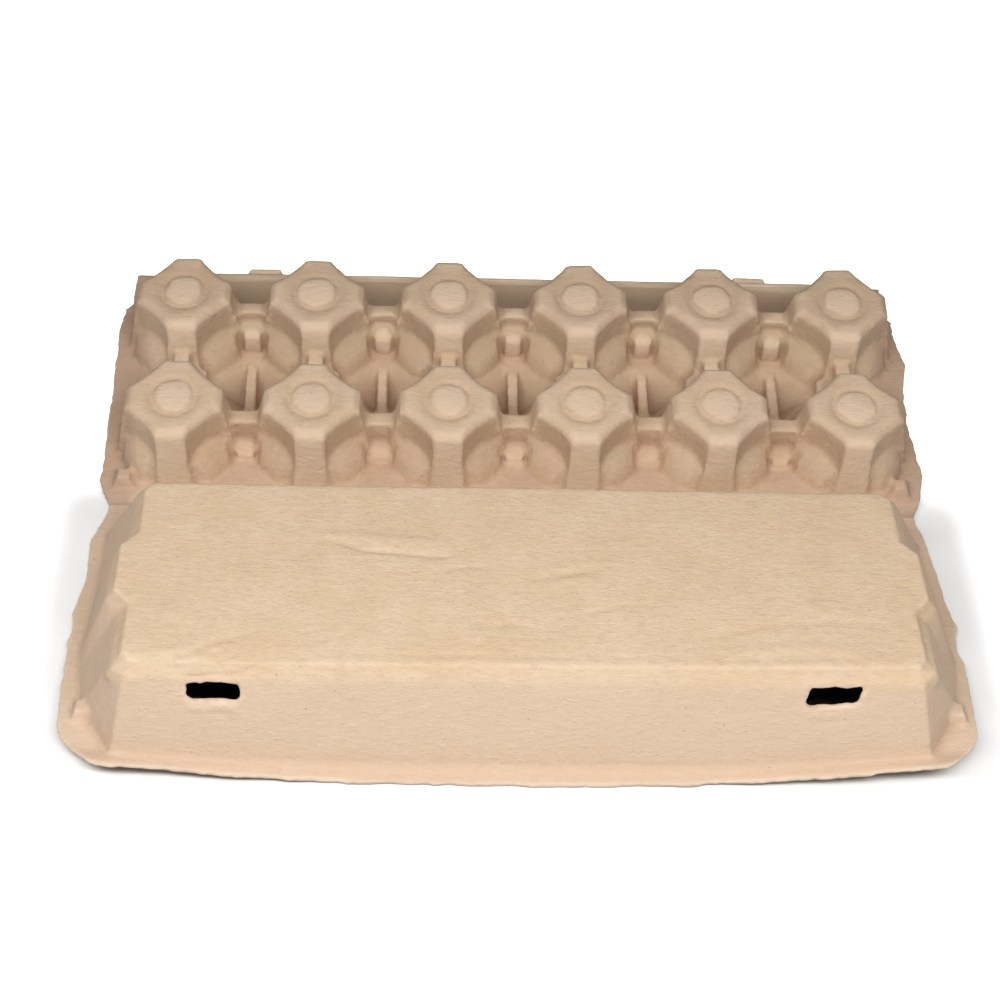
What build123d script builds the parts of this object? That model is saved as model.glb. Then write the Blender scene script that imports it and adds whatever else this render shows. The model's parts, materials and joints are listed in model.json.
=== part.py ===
from build123d import *
import os
from math import asin, atan, cos, degrees, hypot, radians, sin, tan

# A moulded pulp egg carton for two rows of six eggs. It lies opened out and upside down: the tray's
# cup bottoms and the lid's outside face up. Lengths are millimetres and angles are degrees.
# Every piece is first made with its rim on z = 0 and the fold between lid and tray on y = 0.

os.makedirs("parts", exist_ok=True)

# Whole carton
cups_long = 6
cups_deep = 2
cup_pitch = 48.0
side_rim = 3.4            # from the end cups' cells to the end of the rim
wall = 1.8                # thickness of the pulp
overrun = 1.0             # how far a cutting shape runs past what it cuts
fold_gap = 0.35           # from the main fold's line to the edge of the lid and of the tray
flap_gap = 0.15           # from the flap's fold line to the edge of the tray and of the flap
rim_play = 0.3            # between the two rims when the carton is shut
tray_tilt = 10.44         # how far the latch flap props up the tray's far side

# Tray
fold_rim = 5.8            # from the cups' cells to the main fold, and to the latch flap's
tray_height = 27.8        # rim to the flat bottoms of the cups
pad_reach = 16.5          # cup's centre to the tip of its bottom pad
tip_width = 9.6           # each tip carries a flat strip down the cup
strip_draft = 11.0
strip_spread = 3.2        # the strips widen on the way down
core_draft = 3.0          # the walls under the pad's long sides are steeper
core_hollow = 0.8         # and curve in a little between the strips
pad_bevel = 1.8
ring_radius = 8.0
ring_width = 1.7
ring_depth = 0.7
belly_gap = 1.2           # from the round hollow for the egg, measured outside, to its cell's side
belly_sink = 2.0          # the hollow's middle lies this far past the rim
saddle_height = 16.5      # bridge between neighbouring cups
saddle_width = 5.6
web_height = 12.0         # lower shelf beside the saddle, between cups of the far row
near_web_height = 7.5
web_fall = 3.5            # its top slopes down away from the saddle
web_length = 17.0
web_width = 5.8
belly_step = 2.2          # the round hollow is flattened beside the strips, this far behind them
post_depth = 8.2          # hollow four-sided posts between four cups stand this far past the rim
post_edge = 0.6           # what the post's opening leaves of the rim beside a cup
post_point_cut = 1.6      # the post's corners are blunt
post_tip_reach = 8.4
post_web = 3.8            # wall across each post, in line with the saddles
tray_corner_cut = 4.6     # the rim narrows beside the main fold
tray_corner_run = 12.0
far_corner_cut = 4.1      # and beside the latch flap
far_corner_start = 84.5
far_corner_run = 8.5
tray_nub_base = 7.5       # stacking nubs on the rim beside the fold
tray_nub_height = 4.6
tray_nub_draft = 20.0
tray_nub_inset = 9.4      # rim's end to the nub's middle
tray_nub_back = 11.8      # main fold to the nub's middle

# Lid
lid_height = 35.4
end_ledge = 5.1           # rim left outside the walls at each end
front_reach = 4.8         # the front wall stands this far past the tray's latch fold when shut
front_ledge = 4.6         # rim in front of the front wall
foot_back = 5.0
end_lean = 17.8           # how far each wall leans in on its way up to the panel
back_lean = 15.5
front_lean = 12.2
panel_corner = 3.0
foot_front_cut = 13.6     # the foot's front corners are cut off, this far along the front wall
foot_back_corner = 9.0
foot_front_corner = 20.0
foot_swell = 1.6          # the walls' foot swells beside the front corners
pilaster_proud = 5.2      # the panel widens at the middle of each end
pilaster_start = 50.0
pilaster_end = 70.0
pilaster_blend = 6.0
bevel_drop = 5.6          # a bevel runs round the panel, broad at the front
front_bevel = 3.7         # how far in from the edge the walls would meet the panel in
end_bevel = 0.8
back_bevel = 1.4
lid_rim_bow = 1.8
lid_rim_corner = 14.0
slot_spacing = 191.4
slot_width = 16.0
slot_height = 6.5
slot_middle = 25.4        # above the lid's rim
lid_nub_base = 9.4
lid_nub_height = 5.6
lid_nub_draft = 20.0
lid_nub_inset = 9.2
lid_nub_forward = 94.6

# Latch flap
flap_length = 30.4
flap_play = 6.5           # from each end of the flap's root to the end of the lid's front wall
flap_narrowing = 10.0     # at each end, on the way to the tip
flap_corner = 7.0
button_clearance = 1.5    # between a button and its slot, all round along the slot
button_side_clearance = 0.5
button_proud = 2.5
button_draft = 12.0

# Sizes that follow from the ones above
half_turn = 180.0
octagon_turn = 22.5
carton_length = cups_long * cup_pitch + side_rim + side_rim
fold_drop = rim_play / 2
tray_reach = cups_deep * cup_pitch + fold_rim + fold_rim
belly_radius = cup_pitch / 2 - belly_gap
foot_length = carton_length - end_ledge - end_ledge
foot_front = tray_reach + front_reach
lid_rim_front = foot_front + front_ledge
front_wall_length = foot_length - foot_front_cut - foot_front_cut
panel_length = foot_length - end_lean - end_lean
panel_back = foot_back + back_lean
panel_front = foot_front - front_lean
flap_root_width = front_wall_length - flap_play - flap_play
flap_tip_width = flap_root_width - flap_narrowing - flap_narrowing
column_places = [(i - (cups_long - 1) / 2) * cup_pitch for i in range(cups_long)]
row_places = [tray_reach / 2 + (j - (cups_deep - 1) / 2) * cup_pitch for j in range(cups_deep)]
gaps_long = [(a + b) / 2 for a, b in zip(column_places, column_places[1:])]
gaps_deep = [(a + b) / 2 for a, b in zip(row_places, row_places[1:])]
post_reach = cup_pitch - (belly_radius + post_edge) / cos(radians(half_turn / 4))


# The lid's front wall, and where a slot's middle meets the flap folded up behind it
wall_slope = (foot_front - panel_front) / lid_height
wall_angle = degrees(atan(1 / wall_slope))
slot_back = tray_reach - foot_front + slot_middle * wall_slope
button_reach = slot_back * cos(radians(wall_angle)) + (slot_middle + rim_play) * sin(radians(wall_angle))


def mirrored(points):
    """A closed outline from its right half, listed from the middle of the back to the front."""
    return points + [(-x, y) for x, y in reversed(points)]


def inset(points, distance):
    """The same closed outline moved inwards by a distance, corner by corner."""
    turned = sum(x0 * y1 - x1 * y0 for (x0, y0), (x1, y1) in zip(points, points[1:] + points[:1]))
    side = 1 if turned > 0 else -1
    moved = []
    for before, corner, after in zip(points[-1:] + points[:-1], points, points[1:] + points[:1]):
        into = Vector(corner[0] - before[0], corner[1] - before[1]).normalized()
        out = Vector(after[0] - corner[0], after[1] - corner[1]).normalized()
        normal = Vector(-into.Y - out.Y, into.X + out.X) * side
        normal = normal * (2 / normal.length ** 2)
        moved.append((corner[0] + normal.X * distance, corner[1] + normal.Y * distance))
    return moved


def outline(points, height, bow=0):
    """A flat face from an outline whose last side, the front one, may bow out."""
    start = points[len(points) // 2 - 1]
    end = points[len(points) // 2]
    front = [(start[0], start[1]), (0, start[1] - bow), (end[0], end[1])]
    rest = points[len(points) // 2:] + points[:len(points) // 2]
    edges = Polyline(*[(x, y, height) for x, y in rest])
    if bow:
        edges += ThreePointArc(*[(x, y, height) for x, y in front])
    else:
        edges += Line((start[0], start[1], height), (end[0], end[1], height))
    return make_face(edges.edges())


def between(low, high, share):
    """The outline a share of the way up from a low one to a high one."""
    return [(x + (u - x) * share, y + (v - y) * share) for (x, y), (u, v) in zip(low, high)]


def walled(levels):
    """A solid through outlines at rising heights, with a wall for each side of each storey."""
    rings = [[Vector(x, y, height) for x, y in points] for points, height in levels]
    faces = [Face(Wire.make_polygon(ring)) for ring in (rings[0], rings[-1])]
    for low, high in zip(rings, rings[1:]):
        for a, b, c, d in zip(low, low[1:] + low[:1], high, high[1:] + high[:1]):
            faces.append(Face.make_surface_from_curves(Edge.make_line(a, b), Edge.make_line(c, d)))
    return Solid(Shell(faces))


def diamond(reach, tip):
    """A square stood on its corner, its four tips cut off and its long sides curved in."""
    half = tip / 2
    middle = (reach + half) / 2 - core_hollow * cos(radians(half_turn / 4))
    edges = []
    for quarter in range(4):
        turn = Rot(0, 0, quarter * half_turn / 2)
        edges.append(turn * Line((reach, -half), (reach, half)))
        edges.append(turn * ThreePointArc((reach, half), (middle, middle), (half, reach)))
    return make_face([edge.edge() for edge in edges])


def block(x0, x1, y0, y1, z0, z1):
    return Pos((x0 + x1) / 2, (y0 + y1) / 2, (z0 + z1) / 2) * Box(x1 - x0, y1 - y0, z1 - z0)


def arm(skin, turn):
    """A bar through the cup whose two ends are the strips under opposite tips of the pad."""
    top = tray_height - skin
    high = Rectangle(2 * (pad_reach - skin), tip_width - 2 * skin)
    spread = 2 * tray_height * tan(radians(strip_draft))
    low = Rectangle(2 * (pad_reach - skin) + spread, tip_width - 2 * skin + strip_spread)
    bar = loft([Pos(0, 0, 0) * low, Pos(0, 0, top) * high], ruled=True)
    if skin:
        bar += extrude(low, -overrun)
    return Rot(0, 0, turn) * bar


def core(skin):
    """The steep middle of the cup, under the pad's long sides."""
    top = tray_height - skin
    flare = tray_height * tan(radians(core_draft))
    tip = tip_width - 2 * skin * tan(radians(octagon_turn))
    high = diamond(pad_reach - skin, tip)
    low = diamond(pad_reach - skin + flare, tip + 2 * flare * tan(radians(octagon_turn)))
    body = loft([low, Pos(0, 0, top) * high], ruled=True)
    if skin:
        body += extrude(low, -overrun)
    return body


def belly(skin):
    """The round egg hollow, from the rim up, with flats parallel to the four strips."""
    reach = pad_reach - belly_step - skin
    spread = tray_height * tan(radians(strip_draft))
    high = Rectangle(2 * reach, 2 * reach)
    low = Rectangle(2 * (reach + spread), 2 * (reach + spread))
    limit = loft([Pos(0, 0, 0) * low, Pos(0, 0, tray_height) * high], ruled=True)
    if skin:
        limit += extrude(low, -overrun)
    return Pos(0, 0, -belly_sink) * Sphere(belly_radius - skin) & limit


def cup_outside():
    pad = core(0)
    pad = chamfer(pad.faces().sort_by(Axis.Z)[-1].edges(), pad_bevel)
    limit = tray_height - pad_bevel
    arms = arm(0, 0) + arm(0, half_turn / 2)
    arms &= block(-cup_pitch, cup_pitch, -cup_pitch, cup_pitch, 0, limit)
    cup = pad + arms
    groove = Cylinder(ring_radius + ring_width / 2, ring_depth) - Cylinder(ring_radius - ring_width / 2, ring_depth)
    cup -= Pos(0, 0, tray_height - ring_depth / 2) * groove
    return cup + belly(0)


def cup_inside():
    skin = wall + ring_depth / 2
    return core(skin) + arm(skin, 0) + arm(skin, half_turn / 2) + belly(wall)


def bridge(place, along_x, crest, skin):
    """The saddle and web between two neighbouring cups, solid or as the hollow under them."""
    reach = cup_pitch / 2 - pad_reach + skin
    across = saddle_width / 2 - skin
    low = -overrun if skin else 0
    saddle = block(-reach, reach, -across, across, low, saddle_height - skin)
    end = web_length / 2 - skin
    top = crest - skin
    side = [(-end, low), (-end, top - web_fall), (-across, top), (across, top), (end, top - web_fall), (end, low)]
    web = extrude(Plane.YZ * make_face(Polyline(*side, close=True)), web_width / 2 - skin, both=True)
    turn = Rot(0, 0, 0 if along_x else half_turn / 2)
    return [Pos(place[0], place[1], 0) * turn * body for body in (saddle, web)]


def blunt_square(reach):
    """A square stood on its corner, with its corners cut off."""
    points = []
    for x, y in ((1, 0), (0, 1), (-1, 0), (0, -1)):
        tip = reach - post_point_cut
        points += [(x * tip + y * post_point_cut, y * tip - x * post_point_cut),
                   (x * tip - y * post_point_cut, y * tip + x * post_point_cut)]
    return make_face(Polyline(*points, close=True))


def post(skin):
    """The hollow post between four cups, solid or as the two hollows beside its web."""
    side = skin / cos(radians(half_turn / 4))
    low = Pos(0, 0, skin - post_depth) * blunt_square(post_tip_reach - side)
    if not skin:
        return loft([low, Pos(0, 0, 0) * blunt_square(post_reach + side + wall)], ruled=True)
    high = Pos(0, 0, wall) * blunt_square(post_reach)
    body = loft([low, high], ruled=True) + extrude(high, overrun)
    half = post_web / 2
    return body - block(-half, half, -cup_pitch, cup_pitch, -post_depth, wall)


def nub(place, base, height, draft, floor):
    foot = Pos(place[0], place[1], floor) * Rectangle(base, base)
    return extrude(foot, height, taper=draft)


def tray_rim():
    end = carton_length / 2
    half = [(end - tray_corner_cut, fold_gap), (end, tray_corner_run), (end, far_corner_start),
            (end - far_corner_cut, far_corner_start + far_corner_run), (end - far_corner_cut, tray_reach - flap_gap)]
    return extrude(make_face(Polyline(*mirrored(half), close=True)), wall)


def make_tray():
    cups = [(x, y) for x in column_places for y in row_places]
    bridges = [((x, row_places[0]), True, near_web_height) for x in gaps_long]
    bridges += [((x, y), True, web_height) for x in gaps_long for y in row_places[1:]]
    bridges += [((x, y), False, web_height) for x in column_places for y in gaps_deep]
    posts = [(x, y) for x in gaps_long for y in gaps_deep]
    outside = cup_outside()
    inside = cup_inside()
    solid = [Pos(x, y, 0) * outside for x, y in cups]
    hollow = [Pos(x, y, 0) * inside for x, y in cups]
    for place, along_x, crest in bridges:
        solid += bridge(place, along_x, crest, 0)
        hollow += bridge(place, along_x, crest, wall)
    for x, y in posts:
        solid.append(Pos(x, y, 0) * post(0))
        hollow.append(Pos(x, y, 0) * post(wall))
    end = carton_length / 2 - tray_nub_inset
    for x in (-end, end):
        solid.append(nub((x, tray_nub_back), tray_nub_base, tray_nub_height, tray_nub_draft, wall))
    tray = tray_rim() + solid
    return tray - hollow


def panel_outline(half, back, front):
    """The panel's edge: it widens at the middle of each end."""
    proud = half + pilaster_proud
    return mirrored([(half - panel_corner, -back), (half, -back - panel_corner),
                     (half, -pilaster_start + pilaster_blend), (proud, -pilaster_start),
                     (proud, -pilaster_end), (half, -pilaster_end - pilaster_blend),
                     (half, -front + panel_corner), (half - panel_corner, -front)])


def lid_walls(skin):
    """The lid's raised body, or with a skin the space inside it."""
    foot = foot_length / 2
    low = [(foot - foot_back_corner, -foot_back), (foot, -foot_back - foot_back_corner),
           (foot, -pilaster_start + pilaster_blend), (foot, -pilaster_start),
           (foot + foot_swell, -pilaster_end), (foot + foot_swell, -pilaster_end - pilaster_blend),
           (foot - foot_swell, -foot_front + foot_front_corner), (front_wall_length / 2, -foot_front)]
    low = mirrored(low)
    high = panel_outline(panel_length / 2, panel_back, panel_front)
    bevelled = panel_outline(panel_length / 2 - end_bevel, panel_back + back_bevel, panel_front - front_bevel)
    top = lid_height - skin
    if skin:
        bevels = [(u - x, v - y) for (x, y), (u, v) in zip(high, bevelled)]
        high = inset(between(low, high, top / lid_height), skin)
        bevelled = [(x + u, y + v) for (x, y), (u, v) in zip(high, bevels)]
        low = inset(low, skin)
    start = top - bevel_drop
    body = walled([(low, 0), (between(low, high, start / top), start), (bevelled, top)])
    if skin:
        body += extrude(outline(low, 0), -overrun)
    return body


def lid_rim():
    end = carton_length / 2
    half = [(end - tray_corner_cut, -fold_gap), (end, -tray_corner_run), (end, -lid_rim_front + lid_rim_corner),
            (end - lid_rim_corner, -lid_rim_front)]
    face = outline(mirrored(half), 0, lid_rim_bow)
    rim = extrude(face, wall)
    corners = [e for e in rim.edges().filter_by(Axis.Z) if e.center().Y < -lid_rim_front / 2]
    return fillet(corners, lid_rim_corner / 2)


def make_lid():
    lid = lid_rim() + lid_walls(0)
    lid -= lid_walls(wall)
    end = carton_length / 2 - lid_nub_inset
    for x in (-end, end):
        lid += nub((x, -lid_nub_forward), lid_nub_base, lid_nub_height, lid_nub_draft, 0) - lid_walls(wall)
    half = slot_spacing / 2
    low = slot_middle - slot_height / 2
    for x in (-half, half):
        inside = wall + wall - panel_front
        lid -= block(x - slot_width / 2, x + slot_width / 2, -foot_front, inside, low, low + slot_height)
    return lid


def make_flap():
    """The latch flap, made flat with its fold on y = 0."""
    root = flap_root_width / 2
    tip = flap_tip_width / 2
    outline_points = mirrored([(root, flap_gap), (tip + flap_corner, flap_length - flap_corner), (tip, flap_length)])
    flap = extrude(make_face(Polyline(*outline_points, close=True)), wall)
    along = button_reach
    width = slot_width - 2 * button_clearance
    height = slot_height - 2 * button_side_clearance
    half = slot_spacing / 2
    for x in (-half, half):
        foot = Pos(x, along, wall) * Rectangle(width, height)
        flap += extrude(foot, button_proud, taper=button_draft)
        flap -= extrude(Pos(x, along, 0) * Rectangle(width - 2 * wall, height - 2 * wall), button_proud)
    return flap


# The flap bends down from the tray's far rim until its tip stands on the table.
flap_axis_height = tray_reach * sin(radians(tray_tilt))
flap_slope = degrees(asin(flap_axis_height / flap_length))
flap_bend = flap_slope + tray_tilt
flap_shut = half_turn - wall_angle

hinge = Pos(0, 0, -fold_drop)
tilt = hinge * Rot(tray_tilt, 0, 0) * hinge.inverse()
carton = {
    "tray": tilt * make_tray(),
    "lid": make_lid(),
    "latch_flap": tilt * Pos(0, tray_reach, 0) * Rot(-flap_bend, 0, 0) * make_flap(),
}

# The origin is on the table under the middle of the whole carton.
box = Compound(children=[Compound(piece.solids()) for piece in carton.values()]).bounding_box()
middle = Pos(-box.center().X, -box.center().Y, -box.min.Z)
for name, piece in carton.items():
    export_step(middle * piece, f"parts/{name}.step")
print("main fold at", middle.position + Vector(0, 0, -fold_drop))
print("flap fold at", (middle * tilt * Pos(0, tray_reach, 0)).position)
print("flap bend", round(flap_bend, 3), "shut", round(flap_shut, 3), "button at", round(button_reach, 3))
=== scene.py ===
import json
import math
import bmesh
import bpy
import numpy as np
from mathutils import Matrix, Vector


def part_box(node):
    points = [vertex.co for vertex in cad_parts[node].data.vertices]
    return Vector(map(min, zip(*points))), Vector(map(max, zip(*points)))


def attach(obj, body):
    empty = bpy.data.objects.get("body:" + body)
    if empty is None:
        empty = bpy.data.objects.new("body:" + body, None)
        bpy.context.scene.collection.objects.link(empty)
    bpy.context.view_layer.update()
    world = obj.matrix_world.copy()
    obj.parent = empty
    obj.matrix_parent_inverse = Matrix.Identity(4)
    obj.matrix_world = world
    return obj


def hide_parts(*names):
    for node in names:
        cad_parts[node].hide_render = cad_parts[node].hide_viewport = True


# A moulded pulp egg carton, opened out upside down. The lid lies on its rim, and the tray
# slopes up from the fold between them to its latch flap. The scene is in metres, while the
# sizes in the dictionaries are millimetres unless their name says otherwise.

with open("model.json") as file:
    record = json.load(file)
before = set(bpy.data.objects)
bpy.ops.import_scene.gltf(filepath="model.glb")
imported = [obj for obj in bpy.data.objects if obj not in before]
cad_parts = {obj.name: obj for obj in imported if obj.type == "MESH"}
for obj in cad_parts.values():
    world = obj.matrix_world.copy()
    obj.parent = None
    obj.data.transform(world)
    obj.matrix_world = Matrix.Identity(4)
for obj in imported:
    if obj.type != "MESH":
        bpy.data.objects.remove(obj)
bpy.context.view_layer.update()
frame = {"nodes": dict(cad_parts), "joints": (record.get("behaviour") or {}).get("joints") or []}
print("frame loaded")

joints = {j["name"]: j for j in frame["joints"]}
lidFold = Vector(joints["lid_fold"]["pos_m"])
flapFold = Vector(joints["flap_fold"]["pos_m"])
trayTilt = math.atan2(flapFold.z - lidFold.z, flapFold.y - lidFold.y)


# Shaping tools: each piece's points are moved as one array, in millimetres from a fold.

class Lumps:
    # soft random lumps of one size, the same in each run
    def __init__(self, size, seed):
        self.size = size
        self.grid = np.random.default_rng(seed).uniform(-1, 1, (40, 40, 40))

    def __call__(self, points):
        p = points / self.size + 1000.37
        cell = np.floor(p).astype(int)
        t = p - cell
        t = t * t * (3 - 2 * t)
        total = np.zeros(len(points))
        for dx in (0, 1):
            for dy in (0, 1):
                for dz in (0, 1):
                    weight = abs(1 - dx - t[:, 0]) * abs(1 - dy - t[:, 1]) * abs(1 - dz - t[:, 2])
                    corner = (cell + (dx, dy, dz)) % 40
                    total += weight * self.grid[corner[:, 0], corner[:, 1], corner[:, 2]]
        return total


def smooth(start, end, x):
    t = np.clip((x - start) / (end - start), 0, 1)
    return t * t * (3 - 2 * t)


def hump(x, width):
    return np.exp(-(x / width) ** 2)


def lineDistance(x, y, line):
    # distance in plan to a run of points, and the share of the run at the nearest spot
    best = np.full(len(x), 1e9)
    along = np.zeros(len(x))
    count = len(line) - 1
    for i, ((ax, ay), (bx, by)) in enumerate(zip(line, line[1:])):
        dx, dy = bx - ax, by - ay
        t = np.clip(((x - ax) * dx + (y - ay) * dy) / (dx * dx + dy * dy), 0, 1)
        d = np.hypot(x - ax - t * dx, y - ay - t * dy)
        along = np.where(d < best, (i + t) / count, along)
        best = np.minimum(best, d)
    return best, along


def readPoints(mesh):
    co = np.empty(len(mesh.vertices) * 3)
    mesh.vertices.foreach_get("co", co)
    normal = np.empty(len(mesh.vertices) * 3)
    mesh.vertex_normals.foreach_get("vector", normal)
    return co.reshape(-1, 3), normal.reshape(-1, 3)


def reshape(obj, place, shaper):
    # the shaper works in millimetres from the piece's own fold, which place puts in the scene
    co, normal = readPoints(obj.data)
    turn = np.array(place.to_3x3())
    shift = np.array(place.translation)
    scale = 0.001
    local = (co - shift) @ turn / scale
    moved = shaper(local, normal @ turn)
    obj.data.vertices.foreach_set("co", (moved * scale @ turn.T + shift).ravel())
    obj.data.update()


def neighbourMean(values, edges, count):
    total = np.zeros_like(values)
    np.add.at(total, edges[:, 0], values[edges[:, 1]])
    np.add.at(total, edges[:, 1], values[edges[:, 0]])
    return total / (count[:, None] if values.ndim > 1 else count)


def markWearAndShade(obj, rounds, reach):
    # "edge" is 0.5 on the flat, more on outer edges, less in creases; "rise" is the same, coarser
    # the materials turn these into painted highlight on edges and painted shade in hollows and creases, with
    # some wear
    mesh = obj.data
    co, normal = readPoints(mesh)
    edges = np.empty(len(mesh.edges) * 2, dtype=int)
    mesh.edges.foreach_get("vertices", edges)
    edges = edges.reshape(-1, 2)
    count = np.maximum(np.bincount(edges.ravel(), minlength=len(co)), 1)
    for name, passes, full in (("edge", rounds, reach), ("rise", rounds * 8, reach * 6)):
        soft = co.copy()
        for _ in range(passes):
            soft = neighbourMean(soft, edges, count)
        bulge = np.einsum("ij,ij->i", co - soft, normal)
        for _ in range(2):
            bulge = neighbourMean(bulge, edges, count)
        layer = mesh.attributes.new(name, "FLOAT", "POINT")
        layer.data.foreach_set("value", np.clip(0.5 + bulge / (full / 1000) * 0.5, 0, 1).astype(np.float32))


def foldRoll(length, radius, place, segments=20):
    # the rounded edge along a fold: a bar with the half below the rim cut away
    bm = bmesh.new()
    bmesh.ops.create_cone(bm, cap_ends=True, segments=segments, radius1=radius, radius2=radius, depth=length)
    bmesh.ops.rotate(bm, verts=bm.verts, matrix=Matrix.Rotation(math.pi / 2, 3, "Y"))
    geometry = bm.verts[:] + bm.edges[:] + bm.faces[:]
    cut = bmesh.ops.bisect_plane(bm, geom=geometry, plane_co=(0, 0, 0.0002), plane_no=(0, 0, -1),
                                 clear_outer=True)
    rim = [e for e in cut["geom_cut"] if isinstance(e, bmesh.types.BMEdge)]
    bmesh.ops.contextual_create(bm, geom=rim)
    bmesh.ops.transform(bm, matrix=place, verts=bm.verts)
    bmesh.ops.recalc_face_normals(bm, faces=bm.faces)
    mesh = bpy.data.meshes.new("foldRoll")
    bm.to_mesh(mesh)
    bm.free()
    return mesh


def mouldedCopy(name, node, rolls, piece):
    # a merged copy of the CAD node, remeshed as one soft-edged skin of pulp
    bm = bmesh.new()
    bm.from_mesh(frame["nodes"][node].data)
    bmesh.ops.remove_doubles(bm, verts=bm.verts, dist=0.000002)
    for roll in rolls:
        bm.from_mesh(roll)
        bpy.data.meshes.remove(roll)
    mesh = bpy.data.meshes.new(name)
    bm.to_mesh(mesh)
    bm.free()
    obj = bpy.data.objects.new(name, mesh)
    bpy.context.scene.collection.objects.link(obj)
    remesh = obj.modifiers.new("pulp skin", "REMESH")
    remesh.mode = "VOXEL"
    remesh.voxel_size = piece["voxel"] / 1000
    remesh.use_smooth_shade = True
    if "kept" in piece:
        thin = obj.modifiers.new("fewer faces", "DECIMATE")
        thin.ratio = piece["kept"]
    soften = obj.modifiers.new("soft edges", "SMOOTH")
    soften.factor = 0.5
    soften.iterations = piece["softRounds"]
    finished = bpy.data.meshes.new_from_object(obj.evaluated_get(bpy.context.evaluated_depsgraph_get()))
    obj.modifiers.clear()
    obj.data = finished
    finished.name = name
    return obj


# Materials

class Wire:
    # a socket of a node, so that shader maths reads as a formula
    def __init__(self, paint, socket):
        self.paint = paint
        self.socket = socket

    def maths(self, operation, first, second):
        return self.paint.node("ShaderNodeMath", {"operation": operation}, {0: first, 1: second})

    def __add__(self, other):
        return self.maths("ADD", self, other)

    def __sub__(self, other):
        return self.maths("SUBTRACT", self, other)

    def __rsub__(self, other):
        return self.maths("SUBTRACT", other, self)

    def __mul__(self, other):
        return self.maths("MULTIPLY", self, other)

    __radd__ = __add__
    __rmul__ = __mul__


class Paint:
    # the nodes of a material or of the world
    def __init__(self, owner):
        self.owner = owner
        owner.use_nodes = True
        self.tree = owner.node_tree
        self.tree.nodes.clear()

    def node(self, kind, settings=None, inputs=None, output=0):
        made = self.tree.nodes.new(kind)
        for key, value in (settings or {}).items():
            setattr(made, key, value)
        for key, value in (inputs or {}).items():
            if isinstance(value, Wire):
                self.tree.links.new(value.socket, made.inputs[key])
            else:
                made.inputs[key].default_value = value
        return Wire(self, made.outputs[output]) if made.outputs else None

    def mix(self, factor, first, second):
        # a mix node's colour sockets share their names with others, so they go by number
        return self.node("ShaderNodeMix", {"data_type": "RGBA"}, {0: factor, 6: first, 7: second}, output=2)

    def band(self, value, start, end):
        return self.node("ShaderNodeMapRange", {"interpolation_type": "SMOOTHSTEP"},
                         {"Value": value, "From Min": start, "From Max": end})

    def attribute(self, name):
        return self.node("ShaderNodeAttribute", {"attribute_name": name}, output="Fac")

    def coords(self, scale=(1, 1, 1), turn=(0, 0, 0)):
        place = self.node("ShaderNodeTexCoord", output="Object")
        return self.node("ShaderNodeMapping", {}, {"Vector": place, "Rotation": turn, "Scale": scale})

    def noise(self, where, scale, detail=2, rough=0.5):
        inputs = {"Vector": where, "Scale": scale, "Detail": detail, "Roughness": rough}
        return self.node("ShaderNodeTexNoise", {}, inputs)

    def vector(self, operation, first, second=(0, 0, 0), output=0):
        return self.node("ShaderNodeVectorMath", {"operation": operation}, {0: first, 1: second}, output)

    def surface(self, shader, output="ShaderNodeOutputMaterial"):
        self.node(output, {}, {"Surface": shader})
        return self.owner


def colour(r, g, b):
    return (r, g, b, 1)


pulpLook = {
    "warm": colour(0.700, 0.508, 0.332),       # the pulp's colour where it is handled
    "pale": colour(0.735, 0.555, 0.385),
    "rubbedEdgeAndHighlight": colour(0.865, 0.685, 0.530),   # painted highlight on outer edges, partly also rubbed lighter by wear
    "pinkToneAndShade": colour(0.520, 0.350, 0.235),     # cups and creases, where the pulp keeps its pink
    # random pink patches and crinkles, and painted shade in cups, creases and at the tray's ends
    "speck": colour(0.300, 0.190, 0.110),
    "fibre": colour(0.800, 0.640, 0.480),
    "low": colour(0.692, 0.520, 0.392),        # pinker below the panel: a painted tint for the walls' different light
    "lowFrom": 0.033,                          # metres above the table
    "lowTo": 0.027,
    # painted shade: darker behind, where the light falls off
    "far": colour(0.700, 0.520, 0.360),
    "farFrom": 0.5,                            # metres behind the middle
    "farTo": 0.6,
    "farAmount": 0.0,
    # painted shade towards the ends of the carton
    "endFrom": 0.5,                            # metres from the middle, to either side
    "endTo": 0.6,
    "roughness": 0.92,
    "shine": 0.18,
    "grainStrength": 0.75,
    "grainHeight": 0.00085,                    # metres
}


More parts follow.
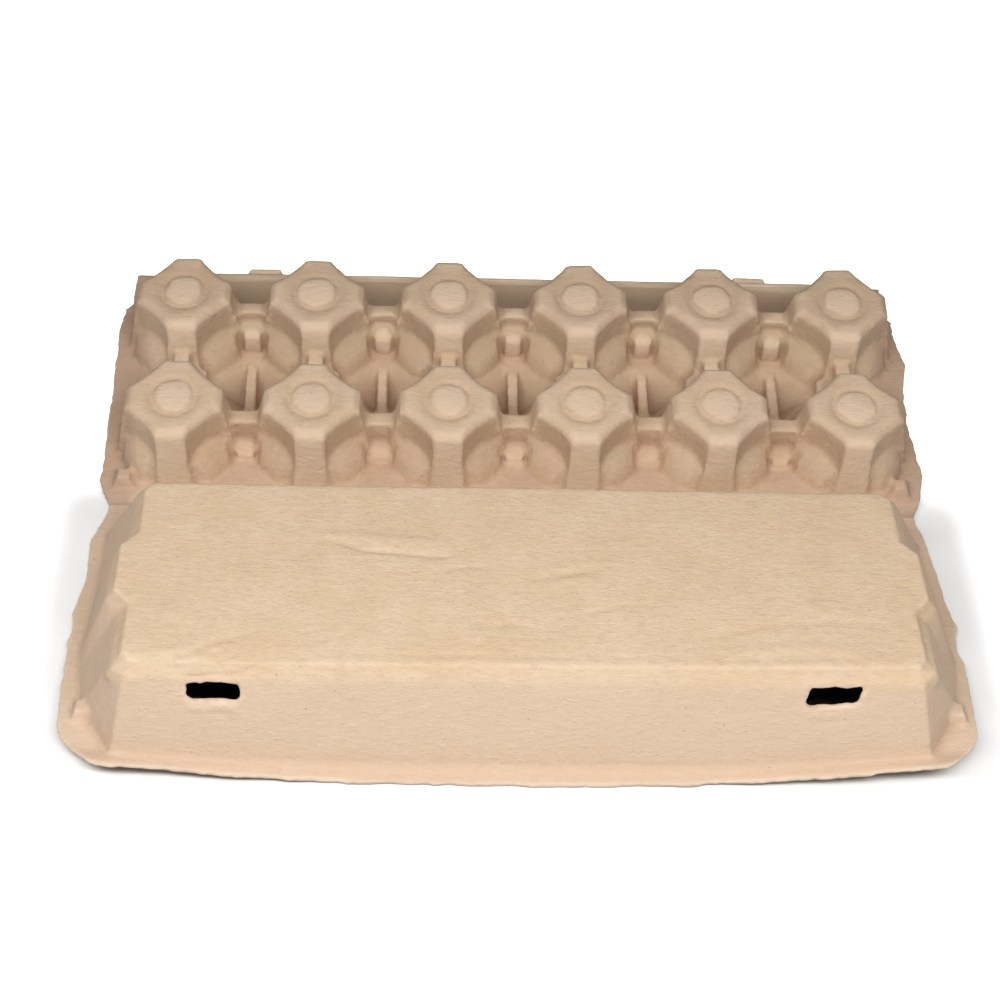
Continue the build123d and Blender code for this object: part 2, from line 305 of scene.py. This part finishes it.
def pulpMaterial(name, look):
    p = Paint(bpy.data.materials.new(name))
    where = p.coords()
    mottle = p.noise(where, 55, 3)
    patch = p.noise(where, 190, 3, 0.6)
    grain = p.noise(where, 900, 3, 0.65)
    # small crinkles, longer across the carton than along it
    cloud = p.noise(p.coords(scale=(0.5, 1.15, 1)), 480, 4, 0.7)
    base = p.mix(p.band(mottle + patch * 0.6, 0.6, 1.0), look["warm"], look["pale"])
    base = p.mix(p.band(patch, 0.50, 0.70) * 0.20, base, look["pinkToneAndShade"])
    base = p.mix(p.band(cloud, 0.50, 0.72) * 0.26, base, look["pinkToneAndShade"])
    base = p.mix(p.band(0.5 - cloud, 0.02, 0.20) * 0.35, base, look["fibre"])
    across, depth, level = (p.node("ShaderNodeSeparateXYZ", {}, {0: where}, axis) for axis in "XYZ")
    # painted tint: the walls below the panel take the colour of their different light
    base = p.mix(p.band(level, look["lowFrom"], look["lowTo"]) * 0.7, base, look["low"])
    # painted shade: darker behind, where the light falls off
    base = p.mix(p.band(depth, look["farFrom"], look["farTo"]) * look["farAmount"], base, look["far"])
    # short fibres lie in every direction: three layers of long, thin noise
    strands = None
    for index, turn in enumerate((0.3, 1.4, 2.5)):
        layer = p.noise(p.coords(scale=(1, 7, 1), turn=(0.2 * index, 0.1, turn)), 260, 2)
        layer = p.band(layer, 0.62, 0.74)
        strands = layer if strands is None else strands + layer
    base = p.mix(strands * 0.22, base, look["fibre"])
    dots = p.node("ShaderNodeTexVoronoi", {"feature": "F1"}, {"Vector": where, "Scale": 330, "Randomness": 1})
    rare = p.band(p.noise(where, 700, 1), 0.56, 0.66)
    speck = (1 - p.band(dots, 0.05, 0.16)) * rare
    base = p.mix(speck * 0.55, base, look["speck"])
    edge = p.attribute("edge")
    rise = p.attribute("rise")
    # painted shade in the broad hollows
    base = p.mix(p.band(0.5 - rise, 0.02, 0.40) * 0.85, base, look["pinkToneAndShade"])
    # painted highlight on outer edges, partly rubbed wear
    base = p.mix(p.band(edge, 0.56, 0.85) * 0.7, base, look["rubbedEdgeAndHighlight"])
    # painted shade in creases
    base = p.mix(p.band(0.5 - edge, 0.06, 0.40) * 0.5, base, look["pinkToneAndShade"])
    # painted shade towards the tray's ends
    side = p.node("ShaderNodeMath", {"operation": "ABSOLUTE"}, {0: across})
    base = p.mix(p.band(side, look["endFrom"], look["endTo"]) * 0.6, base, look["pinkToneAndShade"])
    height = grain * 0.30 + cloud * 0.60 + patch * 0.25 + strands * 0.12
    inputs = {"Height": height, "Strength": look["grainStrength"], "Distance": look["grainHeight"]}
    bump = p.node("ShaderNodeBump", {}, inputs)
    inputs = {"Base Color": base, "Roughness": look["roughness"], "Specular IOR Level": look["shine"],
              "Normal": bump}
    return p.surface(p.node("ShaderNodeBsdfPrincipled", {}, inputs))


# the tray's pulp is duller, with painted shade darkening its far row and the hollows at its ends
trayLook = dict(pulpLook, warm=colour(0.610, 0.440, 0.290), pale=colour(0.640, 0.475, 0.330),
                rubbedEdgeAndHighlight=colour(0.770, 0.590, 0.430), pinkToneAndShade=colour(0.455, 0.300, 0.215),
                fibre=colour(0.700, 0.550, 0.410), lowFrom=-1, lowTo=-2,
                far=colour(0.500, 0.360, 0.240), farFrom=0.035, farTo=0.075, farAmount=0.75,
                endFrom=0.131, endTo=0.1375)

pulp = pulpMaterial("pulp", pulpLook)
trayPaper = pulpMaterial("tray pulp", trayLook)
print("materials ready")


# Tray

tray = {
    "voxel": 0.95,
    "kept": 0.46,
    "softRounds": 1,
    "cupsX": [-120, -72, -24, 24, 72, 120],
    "cupsY": [29.8, 77.8],
    "padHeight": 27.8,
    "ring": 8.0,             # a groove of this radius is pressed into each pad
    "ringDepth": 0.45,
    "discReach": (5.6, 7.0),
    "discRise": 0.35,
    "padLean": 0.016,        # each pad leans by this slope, its own way
    "padReach": 23,
    "leanBand": (14, 27),
    "bridgesX": [-96, -48, 0, 48, 96],
    "bridgeY": 73,           # the bridges between the far cups stand a little higher
    "bridgeLift": 3.0,
    "bridgeReach": (8, 12),
    "bridgeFoot": (4, 9),
    "bridgeTop": (16, 20),
    "lump": 0.28,
    "grainLump": 0.10,
    "tinyLump": 0.05,
    "foldHalf": 142.6,
    "foldRadius": 1.95,
    "farFold": (247.8, 107.6),    # length, and place from the main fold
    "rimStart": 141.6,       # beyond this the rim's ragged edge is pulled in or out
    "rimRag": (0.45, 0.25),
    "rimWave": 0.5,
    "leftRim": [(0, 142), (8, 145.6), (12, 146.6), (40, 146.2), (84, 146.3), (90, 145.4), (93, 142.8),
                (107, 142.4)],
    "rightRim": [(0, 142), (8, 145.6), (20, 147.6), (40, 145.2), (54, 145.2), (70, 147.9), (82, 144.9),
                 (90, 145.3), (93, 142.6), (107, 142.2)],
    "cadRim": [(0, 142.8), (12, 147.4), (84.5, 147.4), (93, 143.3), (108, 143.3)],
}
foldDrop = 0.00015           # a fold's line lies this far below the rims, in metres
rimLift = Matrix.Translation((0, 0, foldDrop))
trayPlace = Matrix.Translation(lidFold) @ Matrix.Rotation(trayTilt, 4, "X") @ rimLift


def table(rows, x):
    return np.interp(x, [r[0] for r in rows], [r[1] for r in rows])


def rimPull(x, along, rows, cadRows, start, side):
    # the edge of a rim follows its own wavy outline on one side
    inside = np.sign(x) != side
    reach = table(rows, along)
    was = table(cadRows, along)
    factor = (reach - start) / (was - start)
    moved = side * (start + (abs(x) - start) * factor)
    return np.where(inside | (abs(x) < start), x, moved)


def shapeTray(p, normal):
    coarse = Lumps(17, 11)(p)
    fine = Lumps(5.5, 12)(p)
    tiny = Lumps(2.3, 13)(p)
    push = tray["lump"] * coarse + tray["grainLump"] * fine + tray["tinyLump"] * tiny
    moved = p + normal * push[:, None]
    x, y, z = moved[:, 0], moved[:, 1], moved[:, 2]
    for i, cx in enumerate(tray["cupsX"]):
        for j, cy in enumerate(tray["cupsY"]):
            r = np.hypot(x - cx, y - cy)
            top = smooth(tray["padHeight"] - 2.2, tray["padHeight"] - 0.6, z) * (normal[:, 2] > 0.3)
            disc = tray["discRise"] * (1 - smooth(*tray["discReach"], r))
            disc = disc - tray["ringDepth"] * hump(r - tray["ring"], 1.0)
            z = z + top * disc
            lean = np.sin(i * 2.3 + j * 1.7) * (x - cx) + np.cos(i * 1.9 + j * 2.6) * (y - cy)
            high = np.where(r < tray["padReach"], smooth(*tray["leanBand"], z), 0)
            z = z + high * lean * tray["padLean"]
    reachX, reachY = tray["bridgeReach"]
    for middle in tray["bridgesX"]:
        under = smooth(*tray["bridgeFoot"], z) * (1 - smooth(*tray["bridgeTop"], z))
        z = z + tray["bridgeLift"] * hump(x - middle, reachX) * hump(y - tray["bridgeY"], reachY) * under
    side = smooth(tray["rimStart"] - 2, tray["rimStart"] + 1, abs(x)) + smooth(104, 106.5, y)
    broad, sharp = tray["rimRag"]
    ragged = np.clip(side, 0, 1) * (broad * Lumps(4.5, 14)(p) + sharp * Lumps(1.9, 15)(p))
    x = rimPull(x, y, tray["leftRim"], tray["cadRim"], tray["rimStart"], -1)
    x = rimPull(x, y, tray["rightRim"], tray["cadRim"], tray["rimStart"], 1)
    x = x + np.sign(x) * ragged * smooth(141, 144, abs(x))
    z = z + tray["rimWave"] * smooth(140, 147, abs(x)) * Lumps(22, 16)(p)
    return np.stack([x, y, z], 1)


mainRoll = foldRoll(2 * tray["foldHalf"] / 1000, tray["foldRadius"] / 1000, trayPlace)
farLength, farReach = tray["farFold"]
farPlace = trayPlace @ Matrix.Translation((0, farReach / 1000, -foldDrop))
farRoll = foldRoll(farLength / 1000, tray["foldRadius"] / 1000, farPlace)
trayPulp = mouldedCopy("trayPulp", "tray", [mainRoll, farRoll], tray)
reshape(trayPulp, trayPlace, shapeTray)
markWearAndShade(trayPulp, 3, 0.55)
trayPulp.data.materials.clear()
trayPulp.data.materials.append(trayPaper)
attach(trayPulp, "tray")
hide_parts("tray")
print("tray shaped,", len(trayPulp.data.polygons), "faces")


# Lid

lid = {
    "voxel": 0.9,
    "kept": 0.64,
    "softRounds": 2,
    "lump": 0.32,
    "middleLump": 0.14,
    "grainLump": 0.06,
    "foldHalf": 142.6,
    "foldRadius": 1.95,
    "height": 35.4,
    "wallFoot": -112.4,
    "wallTop": -100.2,       # where the front wall would meet the panel, but for its bevel
    "bevel": 3.7,
    "edgeShift": 2.6,        # the bevel's upper edge lies this far forward
    "edgeReach": (9, 5.8),   # and carries the pulp behind and before it along
    "leftLift": 2.6,         # the warped lid stands off the table at its front corners
    "rightLift": 4.6,
    "leftCurl": 3.0,         # and its rim curls up more there
    "rightCurl": 3.0,
    "rimStart": 142.2,
    "rimRag": (0.4, 0.22),
    "frontWave": 0.3,
    "leftRim": [(0, 142), (4, 142.6), (9, 144.2), (16, 147.0), (30, 146.2), (38, 146.0), (42, 147.2),
                (50, 148.2), (58, 147.4), (64, 148.3), (69, 147.8), (72, 148.3), (79, 147.4), (83, 147.8),
                (95, 146.8), (105, 146.4)],
    "rightRim": [(0, 142), (4, 142.4), (8, 144.0), (20, 145.4), (30, 146.4), (42, 146.6), (48, 147.6),
                 (53, 148.4), (57, 147.0), (64, 145.6), (70, 146.8), (80, 146.6), (90, 145.8), (100, 145.2),
                 (105, 145.0)],
    "cadRim": [(0, 142.8), (12, 147.4), (200, 147.4)],
    # creases in the panel, in plan
    "wrinkles": [
        {"line": [(-108, -95.4), (-60, -95.0), (0, -95.3), (60, -94.9), (108, -95.6)],
         "width": 0.7, "height": -0.3},
        {"line": [(-65, -46), (-59, -47.7), (-51, -51), (-39.6, -52), (-26.7, -53.6), (-22.5, -53)],
         "width": 1.0, "height": -0.75},
        {"line": [(-65, -44), (-52.7, -45), (-39.7, -47), (-21.9, -47.6)], "width": 2.0, "height": 0.45},
        {"line": [(-30, -60.2), (-21.9, -58.4), (-7, -57.6)], "width": 0.9, "height": -0.35},
        {"line": [(2, -64.3), (8.5, -61.4), (18.2, -59.4), (26, -58.7)], "width": 1.0, "height": -0.6},
        {"line": [(8, -64), (16.5, -63), (22, -61.4)], "width": 1.1, "height": 0.3},
        {"line": [(16.5, -78.4), (25.4, -75.2), (32.5, -73.4)], "width": 0.9, "height": -0.4},
        {"line": [(-18, -81.4), (-11, -83.1), (-1.6, -81.9), (4, -83.8)], "width": 0.9, "height": -0.35},
        {"line": [(-124, -99.5), (-108.8, -98.6), (-97.1, -92.3), (-84, -87.2)],
         "width": 1.1, "height": -0.7},
        {"line": [(-118, -96), (-100.1, -94.6), (-90, -90.6)], "width": 1.6, "height": 0.45},
        {"line": [(-111, -101.1), (-87.4, -97.8), (-64, -97.4)], "width": 1.0, "height": -0.4},
        {"line": [(52, -88.8), (73.8, -82.1), (96.4, -79.8), (114, -82.4)], "width": 1.4, "height": -0.4},
        {"line": [(58, -94.8), (85.5, -90.8), (106, -93.4)], "width": 1.6, "height": 0.4},
        {"line": [(62, -96.6), (88, -94.4), (104, -95.6)], "width": 1.0, "height": -0.3},
    ],
    "slots": [
        {"at": -95.7, "drop": 0.45, "slant": 0.0, "seed": 31},
        {"at": 95.7, "drop": 1.0, "slant": 0.55, "seed": 32},    # this one is torn on the slant
    ],
    "slotMiddle": 25.4,
    "slotRag": (1.0, 0.8, 0.7),    # up, finely up, and sideways
    # creases over the front wall, as x and height
    "frontWrinkles": [
        {"line": [(-109.9, 33.4), (-107.5, 32.7), (-105.5, 31.0), (-104.1, 30.4), (-87.4, 31.5),
                  (-85.5, 32.5), (-82.7, 33.9)], "width": 0.75, "height": -0.6},
        {"line": [(-104.2, 20.9), (-99, 19.8), (-87.7, 20.6)], "width": 0.8, "height": 0.55},
        {"line": [(-100.5, 18.2), (-90, 18.6)], "width": 0.6, "height": -0.5},
        {"line": [(-84.4, 27.6), (-78.5, 27.4)], "width": 0.5, "height": -0.3},
        {"line": [(86.6, 28.1), (97, 28.3)], "width": 0.6, "height": -0.35},
        {"line": [(87.4, 19.9), (94.9, 19.2), (102.7, 19.4)], "width": 0.8, "height": 0.4},
        {"line": [(89, 18.1), (101, 17.8)], "width": 0.6, "height": -0.3},
    ],
}
lidPlace = Matrix.Translation(lidFold) @ rimLift


def shapeLid(p, normal):
    coarse = Lumps(26, 21)(p)
    middling = Lumps(11, 22)(p)
    fine = Lumps(4.5, 23)(p)
    push = lid["lump"] * coarse + lid["middleLump"] * middling + lid["grainLump"] * fine
    moved = p + normal * push[:, None]
    x, y, z = moved[:, 0], moved[:, 1], moved[:, 2]
    onTop = smooth(lid["height"] - 6, lid["height"] - 2.5, z)
    edge = lid["wallTop"] + lid["bevel"]
    behind, before = lid["edgeReach"]
    share = np.where(y > edge, 1 - (y - edge) / behind, 1 - (edge - y) / before)
    y = y - lid["edgeShift"] * np.clip(share, 0, 1) * smooth(20, 26, z)
    for wrinkle in lid["wrinkles"]:
        d, along = lineDistance(x, y, wrinkle["line"])
        fade = np.sin(np.clip(along, 0, 1) * math.pi) ** 0.5
        z = z + onTop * wrinkle["height"] * hump(d, wrinkle["width"]) * fade
    wallY = table([(0, lid["wallFoot"]), (lid["height"], lid["wallTop"])], z)
    onFront = hump(y - wallY, 5) * smooth(112, 90, abs(x) - 12)
    for wrinkle in lid["frontWrinkles"]:
        d, along = lineDistance(x, z, wrinkle["line"])
        fade = np.sin(np.clip(along, 0, 1) * math.pi) ** 0.3
        y = y - onFront * wrinkle["height"] * hump(d, wrinkle["width"]) * fade
    # ragged slots
    broad, sharp, sideways = lid["slotRag"]
    for slot in lid["slots"]:
        at, seed = slot["at"], slot["seed"]
        up = z - lid["slotMiddle"]
        near = hump(x - at, 13) * hump(up, 7) * hump(y - wallY, 5)
        z = z + near * (broad * Lumps(3.4, seed)(p) + sharp * Lumps(1.5, seed + 2)(p) - slot["drop"])
        x = x + near * (sideways * Lumps(2.6, seed + 5)(p) + slot["slant"] * up)
    # the rim's edge, then the warp of the whole lid
    low = 1 - smooth(3, 6, z)
    pulled = rimPull(x, -y, lid["leftRim"], lid["cadRim"], lid["rimStart"], -1)
    pulled = rimPull(pulled, -y, lid["rightRim"], lid["cadRim"], lid["rimStart"], 1)
    x = x + (pulled - x) * low
    edgeX = smooth(143, 145.5, abs(x)) * low
    edgeY = smooth(114.5, 117, -y) * low
    broad, sharp = lid["rimRag"]
    rag = broad * Lumps(4.2, 24)(p) + sharp * Lumps(1.8, 25)(p)
    x = x + np.sign(x) * rag * edgeX
    y = y - (rag + lid["frontWave"] * Lumps(14, 26)(p)) * edgeY
    front = smooth(25, 108, -y)
    lift = np.where(x < 0, lid["leftLift"], lid["rightLift"]) * (np.clip(abs(x) - 30, 0, None) / 94) ** 2
    curl = np.where(x < 0, lid["leftCurl"], lid["rightCurl"]) * smooth(45, 140, abs(x))
    z = z + lift * front * (1 - 0.6 * smooth(27, 34, z)) + curl * smooth(108, 117, -y) * low
    return np.stack([x, y, z], 1)


lidRoll = foldRoll(2 * lid["foldHalf"] / 1000, lid["foldRadius"] / 1000, lidPlace)
lidPulp = mouldedCopy("lidPulp", "lid", [lidRoll], lid)
reshape(lidPulp, lidPlace, shapeLid)
markWearAndShade(lidPulp, 3, 0.55)
lidPulp.data.materials.clear()
lidPulp.data.materials.append(pulp)
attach(lidPulp, "lid")
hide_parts("lid")
print("lid shaped,", len(lidPulp.data.polygons), "faces")


# Latch flap

flap = {
    "voxel": 0.9,
    "softRounds": 2,
    "foldLength": 247.6,
    "foldRadius": 1.95,
    "lump": 0.3,
    "fineLump": 0.1,
    "tipBand": (29, 32),
    "tipRag": (0.35, 0.2),
}
low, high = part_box("latch_flap")
flapSlope = math.asin((flapFold.z - low.z) / math.hypot(flapFold.z - low.z, high.y - flapFold.y))
flapPlace = Matrix.Translation(flapFold) @ Matrix.Rotation(-flapSlope, 4, "X")


def shapeFlap(p, normal):
    push = flap["lump"] * Lumps(19, 41)(p) + flap["fineLump"] * Lumps(6, 42)(p)
    moved = p + normal * push[:, None]
    x, y, z = moved[:, 0], moved[:, 1], moved[:, 2]
    broad, sharp = flap["tipRag"]
    tip = smooth(*flap["tipBand"], y)
    y = y + tip * (broad * Lumps(5, 43)(p) + sharp * Lumps(2, 44)(p))
    return np.stack([x, y, z], 1)


flapRoll = foldRoll(flap["foldLength"] / 1000, flap["foldRadius"] / 1000, flapPlace)
flapPulp = mouldedCopy("flapPulp", "latch_flap", [flapRoll], flap)
reshape(flapPulp, flapPlace, shapeFlap)
markWearAndShade(flapPulp, 3, 0.5)
flapPulp.data.materials.clear()
flapPulp.data.materials.append(pulp)
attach(flapPulp, "latch_flap")
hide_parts("latch_flap")
print("flap shaped,", len(flapPulp.data.polygons), "faces")


# Camera: the photograph's own place, solved from the grid of cups and the lid's edges

view = {
    "yaw": -0.05448,
    "elevation": 0.78514,
    "roll": 0.05309,
    "distance": 712.59,
    "target": (-5.007, 7.775, 0),    # from the middle of the main fold
    "lens": 72,
}


def addCamera():
    yaw, up, roll = view["yaw"], view["elevation"], view["roll"]
    back = Vector((math.sin(yaw) * math.cos(up), -math.cos(yaw) * math.cos(up), math.sin(up)))
    right = (-back).cross(Vector((0, 0, 1))).normalized()
    upward = right.cross(-back)
    across = math.cos(roll) * right + math.sin(roll) * upward
    top = -math.sin(roll) * right + math.cos(roll) * upward
    spot = (Vector(view["target"]) + view["distance"] * back) / 1000 + Vector((0, lidFold.y, 0))
    camera = bpy.data.objects.new("camera", bpy.data.cameras.new("camera"))
    camera.data.lens = view["lens"]
    camera.data.sensor_width = 36
    turn = Matrix((across, top, back)).transposed().to_4x4()
    camera.matrix_world = Matrix.Translation(spot) @ turn
    bpy.context.scene.collection.objects.link(camera)
    bpy.context.scene.camera = camera


# Light and floor

studio = {
    "keyPower": 3.8,
    "keyLength": 0.90,       # metres, as the other places here
    "keyDepth": 0.12,
    "keyFrom": (-0.03, -0.32, 0.46),
    "keyAim": (0, -0.02, 0.01),
    "sky": 0.15,
    "floorSeen": colour(1, 1, 1),
    "floorBounce": colour(0.75, 0.75, 0.75),
    # painted shade on the floor under the carton
    "floorPaintedShade": colour(0.02, 0.02, 0.02),
    "floorSize": 6,          # from the middle to a side
    "hiddenReach": 0.12,     # the floor is painted dark, as shade, where the carton closes it in within this reach
    "hiddenBand": (0.06, 0.40),
    "lidMiddle": (0, -0.0644, 0),
    "lidHalf": (0.149, 0.0585, 1),
    "whiteBand": (0.003, 0.026),    # it turns white over this distance from the lid's outline
}


def addStudio():
    light = bpy.data.lights.new("key", "AREA")
    light.energy = studio["keyPower"]
    light.shape = "RECTANGLE"
    light.size = studio["keyLength"]
    light.size_y = studio["keyDepth"]
    lamp = bpy.data.objects.new("key", light)
    aim = Vector(studio["keyAim"]) - Vector(studio["keyFrom"])
    turn = aim.to_track_quat("-Z", "Y").to_matrix().to_4x4()
    lamp.matrix_world = Matrix.Translation(studio["keyFrom"]) @ turn
    bpy.context.scene.collection.objects.link(lamp)

    # the sky looks white, yet lights the carton softly
    world = bpy.data.worlds.new("studio")
    bpy.context.scene.world = world
    p = Paint(world)
    seen = p.node("ShaderNodeLightPath", output="Is Camera Ray")
    mirrored = p.node("ShaderNodeLightPath", output="Is Glossy Ray")
    direct = p.node("ShaderNodeMath", {"operation": "MAXIMUM"}, {0: seen, 1: mirrored})
    strength = p.node("ShaderNodeMapRange", {}, {"Value": direct, "To Min": studio["sky"], "To Max": 1.0})
    background = p.node("ShaderNodeBackground", {}, {"Color": colour(1, 1, 1), "Strength": strength})
    p.surface(background, "ShaderNodeOutputWorld")

    bm = bmesh.new()
    bmesh.ops.create_grid(bm, x_segments=1, y_segments=1, size=studio["floorSize"])
    mesh = bpy.data.meshes.new("floor")
    bm.to_mesh(mesh)
    bm.free()
    floor = bpy.data.objects.new("floor", mesh)
    bpy.context.scene.collection.objects.link(floor)
    p = Paint(bpy.data.materials.new("floor paper"))
    # white away from the lid's outline, and painted dark as shade where the carton covers it closely
    away = p.vector("ABSOLUTE", p.vector("SUBTRACT", p.coords(), studio["lidMiddle"]))
    away = p.vector("MAXIMUM", p.vector("SUBTRACT", away, studio["lidHalf"]))
    away = p.vector("LENGTH", away, output="Value")
    seen = p.node("ShaderNodeLightPath", output="Is Camera Ray")
    below = p.node("ShaderNodeNewGeometry", output="Backfacing")
    glow = seen * p.band(away, *studio["whiteBand"])
    reach = {"Distance": studio["hiddenReach"]}
    unhidden = p.node("ShaderNodeAmbientOcclusion", {"samples": 6}, reach, output="AO")
    tone = p.mix(p.band(unhidden, *studio["hiddenBand"]), studio["floorPaintedShade"], studio["floorSeen"])
    tone = p.mix(seen, studio["floorBounce"], tone)
    inputs = {"Base Color": tone, "Roughness": 1.0, "Specular IOR Level": 0.0,
              "Emission Color": colour(1, 1, 1), "Emission Strength": glow}
    paper = p.node("ShaderNodeBsdfPrincipled", {}, inputs)
    clear = p.node("ShaderNodeBsdfTransparent")
    p.surface(p.node("ShaderNodeMixShader", {}, {0: below, 1: paper, 2: clear}))
    mesh.materials.append(p.owner)


addCamera()
addStudio()
bpy.context.scene.view_settings.view_transform = "Standard"
print("camera and studio ready")
